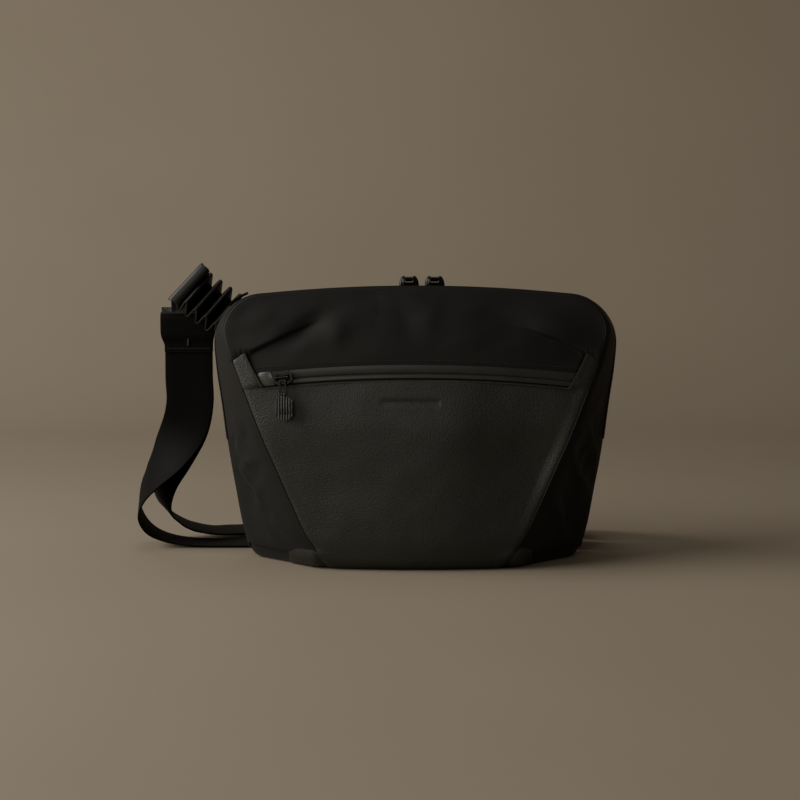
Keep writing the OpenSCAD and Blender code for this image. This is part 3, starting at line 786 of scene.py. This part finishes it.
def slider_cheeks():
    """Rounded cheeks that dress the lugs of the two top sliders."""
    turn = np.radians(np.linspace(0, 90, 10))
    half = ((2.8, 1), (3.8, 0.95), (4.4, 0.86), (4.7, 0.72))    # y, size
    sections = [(-y, s) for y, s in half[::-1]] + list(half)
    for side, pin in (("left", TOP_PIN_LEFT), ("right", TOP_PIN_RIGHT)):
        verts, faces = [], []
        for way in (-1, 1):
            for y, s in sections:
                first = len(verts)
                outline = [(3.05, 0.4), (3.05, 8.6 * s)] + [
                    (3.05 + (0.9 + 3.9 * math.sin(t)) * s, 0.4 + 8.2 * s * math.cos(t))
                    for t in turn]
                verts += [(pin[0] + way * x, pin[1] + y, pin[2] - 6 + z) for x, z in outline]
                n = len(outline)
                if y > sections[0][0]:
                    back = first - n
                    ring = [[back + i, back + (i + 1) % n, first + (i + 1) % n, first + i]
                            for i in range(n)]
                    faces += ring if way > 0 else [f[::-1] for f in ring]
            last = len(verts)
            start = last - n * len(sections)
            caps = [list(range(start, start + n))[::-1], list(range(last - n, last))]
            faces += caps if way > 0 else [f[::-1] for f in caps]
        obj = make(f"slider_cheeks_{side}", verts, faces, METAL, f"top_slider_{side}", sharp=40)


# ---- base and back
def girth(z, draw):
    """Closed line round the bag at a height, drawn in by draw, starting at the front left seam."""
    u = np.linspace(-1, 1, 40)
    front = front_xyz(u * SEAM.x(z), np.full(40, float(z)))[:-1]
    f = np.linspace(0, 1, 13)
    seam_pt = np.array([SEAM.x(z), SEAM.y(z), z], float)
    ridge_pt = np.array([RIDGE.x(z), RIDGE.y(z), z], float)
    back_pt = np.array([BACK.x(z), HALF_D - 1.2, z], float)
    right, left = (np.vstack([mix(seam_pt, ridge_pt, part), mix(ridge_pt, back_pt, part)])
                   for part in (f[:-1, None], f[1:, None]))
    left = (left * [-1, 1, 1])[::-1]
    x = np.linspace(1, -1, 40)[:-1]
    rear = np.stack([x * BACK.x(z), np.full(39, HALF_D - 1.2), np.full(39, float(z))], 1)
    loop = np.vstack([front, right, rear, left])
    for _ in range(3):
        loop = (np.roll(loop, 1, 0) + 2 * loop + np.roll(loop, -1, 0)) / 4
    run = np.roll(loop, -1, 0) - np.roll(loop, 1, 0)
    inward = unit(np.stack([-run[:, 1], run[:, 0], 0 * run[:, 0]], 1))
    return loop + inward * draw


def close_in(ring, shares, pinch):
    """Rings that close a girth towards the line y = 6."""
    return [np.stack([ring[:, 0] * mix(pinch, 1.0, f), mix(6.0, ring[:, 1], f), ring[:, 2]], 1)
            for f in shares]


def base_bend(a, out):
    """Girth where the base has turned by the angle a, moved outwards by out."""
    draw = ROLL * (1 - math.cos(a)) + 0.9 * math.cos(a) ** 2 - out
    return girth(BASE_Z - 7.8 * math.sin(a), draw)


def base():
    rows = []
    for a in np.radians(np.linspace(0, 90, 9)):
        ring = base_bend(a, 0.0)
        ring[:, 2] = BASE_Z - BASE_BEND * math.sin(a)
        ring[:, 1] += 5.2 * step(-18, -34, ring[:, 1])
        rows.append(ring)
    p = np.stack(rows + close_in(rows[-1], (0.85, 0.6, 0.3, 0.05), 0.8), 1)
    obj = grid("base_skin", p, NYLON, "bag", wrap=True, flip=True, thick=1.0, edge=0.3)
    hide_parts("base_panel")


def leather_tucks():
    """Corners of the leather, folded round under the side seams."""
    for side, name, end in ((-1, "left", 99), (1, "right", 91)):
        at = np.linspace(62, end, 24)
        belly = np.sin(np.pi * np.clip((at - 68) / (end - 68), 0, 1) ** 0.7)
        rows = []
        for a in np.radians(np.linspace(-14, 74, 14)):
            ring = base_bend(a, 1.5)
            ring = ring[(ring[:, 0] * side > 50) & (ring[:, 1] < 10)]
            ring = ring[np.argsort(ring[:, 0] * side)]
            y = np.interp(at, ring[:, 0] * side, ring[:, 1])
            y = y + 1.2 * step(end - 7, 76, at) + 5 * step(80, 68, at)
            puff = 1.9 * belly * math.sin(math.pi * (a + 0.28) / 1.75) ** 0.6
            crest = 1.6 * np.sin(np.pi * (at - 62) / (end - 62)) * step(0.5, -0.2, a)
            z = BASE_Z - BASE_BEND * math.sin(a) + crest
            rows.append(np.stack([side * at, y - puff, z], 1))
        p = np.stack(rows, 1)
        obj = grid(f"leather_tuck_{name}", p, LEATHER, "bag", thick=1.3, edge=0.45, flip=side > 0)


def back():
    """Padded back: spacer mesh in three pads between sewn channels, and its binding."""
    rim = BACK.path(6, gap=3)
    ks = np.concatenate([[0, 0.008, 0.02, 0.04], np.linspace(0.07, 1, 46)])
    x = mix(rim[:, None, 0], np.linspace(-30, 30, len(rim))[:, None], ks)
    z = mix(rim[:, None, 2], 7.0, ks)
    edge = ks * 90
    channels = np.zeros(x.shape)
    for cx in (-48, 48):
        off = x - cx * (1 + (z - 100) / 900)
        channels = np.maximum(channels, np.exp(-(off / 3.0) ** 2))
    channels = np.maximum(channels, np.exp(-((z - 132) / 3.0) ** 2) * (np.abs(x) < 49))
    puff = 3.2 * step(6, 16, edge) * (1 - channels) + 0.8 * step(0, 3, edge)
    p = np.stack([x, HALF_D - 1.0 + puff, z], -1)
    obj = grid("back_pad", p, MESH, "bag", flip=True, thick=1.6, edge=0.4, uv=p[..., [0, 2]])
    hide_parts("back_panel")


# ---- lining
def lining():
    us = np.linspace(-0.925, 0.925, 61)
    zs = np.concatenate([np.linspace(6, 108, 40), np.linspace(111, 190, 34)])
    u, z = np.meshgrid(us, zs, indexing="ij")
    p = front_xyz(u * SEAM.x(z), z, WALL + FOAM_T + 1.8 * step(160, 186, z))
    edge = np.minimum((0.925 - np.abs(u)) * 130, np.minimum(z - 6, 190 - z))
    p[..., 1] += (-0.6 * np.exp(-(edge / 3) ** 2) + rumple(p, 30, 2.0) * 0.4
                  + 3 * dent(p, -80, 186, 34, 18, 32) + hollow(p[..., 0], z))
    pad = grid("lining_front", p, LINING, flip=True, thick=1.6, edge=0.4)
    blend(pad, "front_foam_lower", "front_foam_upper")

    us = np.linspace(-0.86, 0.86, 51)
    zs = np.linspace(14, 166, 60)
    u, z = np.meshgrid(us, zs, indexing="ij")
    p = front_xyz(u * SEAM.x(z) * (1 - 0.1 * step(60, 14, z)), z, POCKET_IN + 0.5)
    edge = np.minimum((0.86 - np.abs(u)) * 120, np.minimum(z - 14, 166 - z))
    deep = POCKET_IN - WALL - FOAM_T - 3.2
    p[..., 1] += rumple(p, 34, 4.4) * 0.9 - deep * (1 - step(0, 12, edge))
    pocket = grid("front_pocket", p, LINING, flip=True, thick=0.6, edge=0.2)
    blend(pocket, "pocket_lower", "pocket_upper")

    back_y = HALF_D - BACK_T - BACK_FOAM_T
    rim = BACK.path(8, gap=4)
    ks = np.concatenate([[0, 0.01, 0.03], np.linspace(0.06, 1, 24)])
    x = mix(rim[:, None, 0] * 0.945, np.linspace(-30, 30, len(rim))[:, None], ks)
    z = mix(mix(8.0, rim[:, None, 2], 0.965), 8.0, ks)
    y = back_y + 2.4 * np.exp(-(ks * 90 / 4) ** 2) + 0 * x
    p = np.stack([x, y, z], -1)
    p[..., 1] += rumple(p, 34, 6.1) * 0.4
    pad = grid("lining_back", p, LINING, "bag", thick=3.0, edge=0.5, uv=p[..., [0, 2]])
    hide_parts("back_foam")

    xs = np.linspace(-105, 105, 61)
    zs = np.concatenate([np.linspace(12, 117, 30), [118, 118.6, 124.4, 125]])
    x, z = np.meshgrid(xs, zs, indexing="ij")
    ease = np.sin(np.pi * (x + 105) / 210) ** 0.6
    y = back_y - 1.1 - ease * (1.5 + 2.5 * step(12, 125, z)) - 0.5 * ((z > 118.3) & (z < 124.7))
    p = np.stack([x, y, z], -1)
    p[..., 1] += rumple(p, 28, 3.0) * 0.7 * ease
    slip = grid("slip_pocket", p, LINING, "bag", thick=0.6, edge=0.2)
    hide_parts("inner_slip_pocket")

    rows = [girth(10, d) for d in (7.5, 8.5, 12)]
    p = np.stack(rows + close_in(rows[2], (0.7, 0.4, 0.1), 0.85), 1)
    p[..., 2] = 4.8
    p[:, 0, 2] = 3.6
    floor = grid("lining_base", p, LINING, "bag", wrap=True, thick=1.4, edge=0.3)
    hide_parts("base_board")


# ---- shoulder strap
NEAR_ROUTE = [
    (-182.5, 47, 164, 0), (-182.5, 46.5, 142, 0), (-182, 46, 122, -3), (-187, 48, 102, -12),
    (-200, 52, 80, -35), (-215, 58, 60, -60), (-224, 64, 45, -76), (-227, 70, 30, -86),
    (-222, 76, 17, -90), (-211, 80, 8, -90), (-194, 82, 3, -90), (-170, 82, 1.5, -90),
    (-130, 82, 1.5, -90), (-80, 83, 1.5, -90), (-20, 84, 1.5, -90), (40, 83, 1.5, -90),
    (85, 81, 1.5, -90), (108, 79, 3, -90), (120, 76, 8, -90), (128, 72, 17, -92),
    (131, 67, 31, -100), (131, 63.5, 48, -118), (129, 58.5, 68, -142), (127, 52, 90, -165),
    (126, 48.8, 112, -176), (126, 47.2, 130, -180), (126, 47, 145, -180)]
FAR_ROUTE = [
    (-182.5, 50, 164, 0), (-182.5, 50, 142, 0), (-182, 50, 122, -3), (-186, 52.5, 102, -10),
    (-196, 57.5, 80, -30), (-206, 66, 60, -48), (-210, 76, 45, -62), (-208, 86, 31, -73),
    (-200, 95, 20.5, -80), (-190, 101, 13.5, -85), (-179, 106, 9.5, -88), (-167, 112, 7, -90),
    (-153, 122, 5.5, -90), (-140, 135, 4, -90), (-124, 150, 2.6, -90), (-102, 161, 1.8, -90),
    (-74, 165, 1.5, -90), (-40, 162, 1.5, -90), (-5, 155, 1.5, -90), (35, 147, 1.5, -90),
    (80, 143, 1.5, -90), (112, 139, 3.5, -90), (129, 131, 10, -92), (138, 120, 21, -97),
    (141, 107, 36, -108), (139, 93, 54, -126), (134, 79, 73, -147), (129, 66, 92, -165),
    (126.5, 56.5, 112, -176), (126, 53.8, 130, -180), (126, 53.6, 145, -180)]
RING = np.array([126, 50.3, 172])
RING_DROP = 22


def strap_run(name, route, node):
    """One run of the strap: the piece, its centre line and its length in metres."""
    line = spline(route, 6)
    roll = np.radians(line[:, 3])
    lay = np.stack([np.cos(roll), np.sin(roll), 0 * roll], 1)
    obj = webbing(name, line[:, :3], lay, WEBBING, "bag")
    path = line[:, :3] * MM
    length = float(np.linalg.norm(np.diff(path, axis=0), axis=1).sum())
    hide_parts(node)
    return obj, path, length


def ends_row(x, half, y, z, n):
    """A row of n points across the strap, for stitches."""
    return np.stack([np.linspace(x - half, x + half, n), np.full(n, y), np.full(n, z)], 1)


def strap():
    centre = RING - [0, 0, RING_DROP]
    a = np.radians(np.linspace(-35, 215, 26))
    turn = centre + 3.3 * np.stack([0 * a, -np.cos(a), np.sin(a)], 1)
    loop = webbing("ring_turn", turn, (1, 0, 0), WEBBING, "strap_ring", WEB_W - 0.6, 1.6)
    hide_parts("strap_ring_turn")

    runs = [strap_run("strap_near", NEAR_ROUTE, "strap_run_near"),
            strap_run("strap_far", FAR_ROUTE, "strap_run_far")]

    # the sewn loop that the adjuster hangs in
    loop_x, loop_y, glide_z, r = -182.5, 48.5, 188.0, 4.7
    a = np.radians(np.linspace(0, 180, 15))
    front = [(loop_y - d, z) for d, z in ((3.1, 163), (3.0, 167), (3.2, 171), (r, 176), (r, 186))]
    over = np.stack([loop_y - r * np.cos(a), glide_z + 2 + r * np.sin(a)], 1)
    rear = [(loop_y + d, z) for d, z in ((r, 186), (r, 176), (3.6, 171), (3.2, 167), (3.1, 163))]
    yz = resample(np.vstack([front, over, rear]), 2.0)
    line = np.stack([0 * yz[:, 0] + loop_x, yz[:, 0], yz[:, 1]], 1)
    spread = 5.0 * step(168, 180, line[:, 2])
    line[:, 0] -= spread * 0.12
    loop = webbing("strap_loop", line, (1, 0, 0), WEBBING, "bag", WEB_W + 0.4 + spread)
    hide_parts("strap_end_loop")
    row = ends_row(loop_x, 17.5, loop_y - 3.95, 166, 12)
    tack = np.stack([np.full(8, loop_x), np.full(8, loop_y - 4.6), np.linspace(168, 174, 8)], 1)
    for name, line, pitch, length, thick in (("loop_stitches", row, 3.0, 2.4, 0.3),
                                             ("loop_bartack", tack, 0.7, 0.6, 0.9)):
        s = stitches(name, line, (0, -1, 0), THREAD, "bag", pitch, length, thick)


def concertina():
    """Spare strap folded in pleats between the adjuster and the bag's left corner."""
    down = np.array([0.81, 0.0, -0.58])
    deep = np.array([-0.32, 0.76, -0.57])
    flat, tilted = unit([0.68, 0.10, 0.73]), unit([0.48, 0.65, 0.59])
    first = np.array([-171.0, 20.0, 216.0])
    pleats, pitch, depth = 4, 9.6, 16.5
    block = first - flat * 2.5
    rows = [((-182.8, 45.8, 190), (1, 0, 0)), ((-182.7, 45.7, 199.3), (1, 0, 0.02)),
            ((-180, 44.4, 206), (0.82, 0, 0.57)),
            (block + down * -11.6 + [-0.3, 21, -1], flat),
            (block + down * -11.6 + [0, 11, 0], flat)]
    face = ((-11.4, 1.2), (-10.3, 0.1), (-7.3, -0.4), (-4.4, 0.1), (-3.4, 1.2))
    rows += [(block + down * d + deep * h, flat) for d, h in face]
    rows += [(first + down * -3.6 + deep * (depth * 0.5), unit(mix(flat, tilted, 0.5))),
             (first + down * -3.2 + deep * depth, tilted),
             (first + down * -2.4 + deep * depth, tilted)]
    bend = ((-0.9, 0.9), (0, 0), (0.9, 0.9))
    for k in range(pleats):
        rows += [(first + down * (pitch * k + d) + deep * h, tilted) for d, h in bend]
        if k < pleats - 1:
            rows += [(first + down * (pitch * (k + 0.5) + d) + deep * (depth - h), tilted)
                     for d, h in bend]
    rows += [(first + down * (pitch * (pleats - 1) + 2.0) + deep * 10, tilted),
             ((-150, 33, 199), tilted)]
    pts = np.array([r[0] for r in rows], float)
    wide = np.array([r[1] for r in rows], float)
    line = smooth(resample(np.hstack([pts, wide * 4]), 0.7), 4)
    wide = WEB_W + 5 * step(206, 192, line[:, 2]) * (np.arange(len(line)) < 30)
    obj = webbing("strap_pleats", line[:, :3], line[:, 3:], PLEATED_PAINTED_LIGHT, "bag", wide, 1.6, square=False)
    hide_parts("strap_concertina")


def tabs():
    a = np.radians(np.linspace(112, 166, 22))
    r = 41.9
    line = np.stack([-RIDGE.cx + r * np.cos(a), np.full(22, 31.0), RIDGE.cz + r * np.sin(a)], 1)
    left = webbing("left_tab", line, (0, 1, 0), WEBBING, "bag", 18, 1.9)
    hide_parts("left_anchor_tab")
    x, y, z = RING
    plate = np.array([[x, HALF_D + d, z + h] for d, h in ((1.0, 20), (1.0, 12), (1.4, 5))])
    a = np.radians(np.linspace(150, 410, 26))
    wrap = np.stack([0 * a + x, y + 3.1 * np.cos(a), z + 3.1 * np.sin(a)], 1)
    rear = np.array([[x, HALF_D + 3.4, z + 6.5], [x, HALF_D + 2.8, z + 13]])
    line = resample(np.vstack([plate, wrap, rear]), 1.4)
    right = webbing("right_tab", line, (1, 0, 0), WEBBING, "bag")
    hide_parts("right_anchor_tab")
    for i, dz in enumerate((9, 12)):
        row = ends_row(x, 16, HALF_D + 4.0, z + dz, 10)
        s = stitches(f"tab_stitches_{i + 1}", row, (0, 1, 0), THREAD, "bag", 3.0, 2.4, 0.3)


# ---- studio
LIGHTS = [                   # name, place, aim, size, in metres; watts; colour
    ("key", (-1.65, -0.45, 0.9), (0, 0.15, 0.1), (1.7, 1.5), 37, (1.0, 0.965, 0.90)),
    ("fill", (-0.5, -2.1, 0.8), (0, 0, 0.1), (0.7, 0.7), 4.2, (1.0, 0.97, 0.9)),
    ("top", (-0.2, 0.4, 2.2), (0, 0.3, 0), (1.6, 1.0), 5, (1.0, 0.97, 0.92))]
WORLD_COLOUR = (0.8, 0.74, 0.66, 1)
WORLD_STRENGTH = 0.13
CAMERA_AT = (-0.012, -1.489, 0.27)
CAMERA_LENS = 85.8
CAMERA_TILT = 84.57          # degrees, 90 looks level


def studio():
    turn = np.radians(np.arange(6, 91, 6))      # floor, bend and wall, in metres
    y = np.concatenate([np.linspace(-2.2, 0.9, 12), 0.9 + 0.7 * np.sin(turn), np.full(6, 1.6)])
    z = np.concatenate([np.zeros(12), 0.7 - 0.7 * np.cos(turn), np.linspace(0.9, 3.0, 6)])
    x = np.linspace(-3, 3, 20)[:, None]
    p = np.stack(np.broadcast_arrays(x, y, z), -1) / MM
    s = Shader("backdrop", specular=0.2)
    paper = s.noise(0.4, 4)
    s.colour(paper, (0.300, 0.256, 0.196), (0.315, 0.270, 0.208))
    s.roughness(paper, 0.8, 0.9)
    s.relief((s.noise(0.002, 2), 0.0001, 0.2))
    floor = grid("backdrop", p, s.material, sharp=80)

    for name, at, to, size, power, colour in LIGHTS:
        light = bpy.data.lights.new(name, "AREA")
        light.shape = "RECTANGLE"
        light.size, light.size_y = size
        light.energy = power
        light.color = colour
        obj = bpy.data.objects.new(name, light)
        obj.location = at
        obj.rotation_euler = (Vector(to) - Vector(at)).to_track_quat("-Z", "Y").to_euler()
        bpy.context.collection.objects.link(obj)

    world = bpy.data.worlds.new("World")
    bpy.context.scene.world = world
    world.use_nodes = True
    sky = world.node_tree.nodes["Background"].inputs
    sky["Color"].default_value = WORLD_COLOUR
    sky["Strength"].default_value = WORLD_STRENGTH

    cam = bpy.data.cameras.new("camera")
    cam.lens, cam.sensor_width = CAMERA_LENS, 36
    obj = bpy.data.objects.new("camera", cam)
    obj.location = CAMERA_AT
    obj.rotation_euler = (math.radians(CAMERA_TILT), 0, 0)
    bpy.context.collection.objects.link(obj)
    bpy.context.scene.camera = obj


studio()
leather_front()
fabric_front()
front_zip()
window_piping()
gusset_front()
gusset_back()
main_zip()
slider_cheeks()
base()
leather_tucks()
back()
lining()
strap()
concertina()
tabs()
for name in ("front_slider", "front_pull_link", "top_slider_left", "top_slider_right",
             "top_pull_left", "top_pull_right", "strap_ring", "strap_tri_glide",
             "front_zip_stops"):
    paint(name, METAL)
paint("front_pull", PULL)
paint("front_zip_coil", COIL)
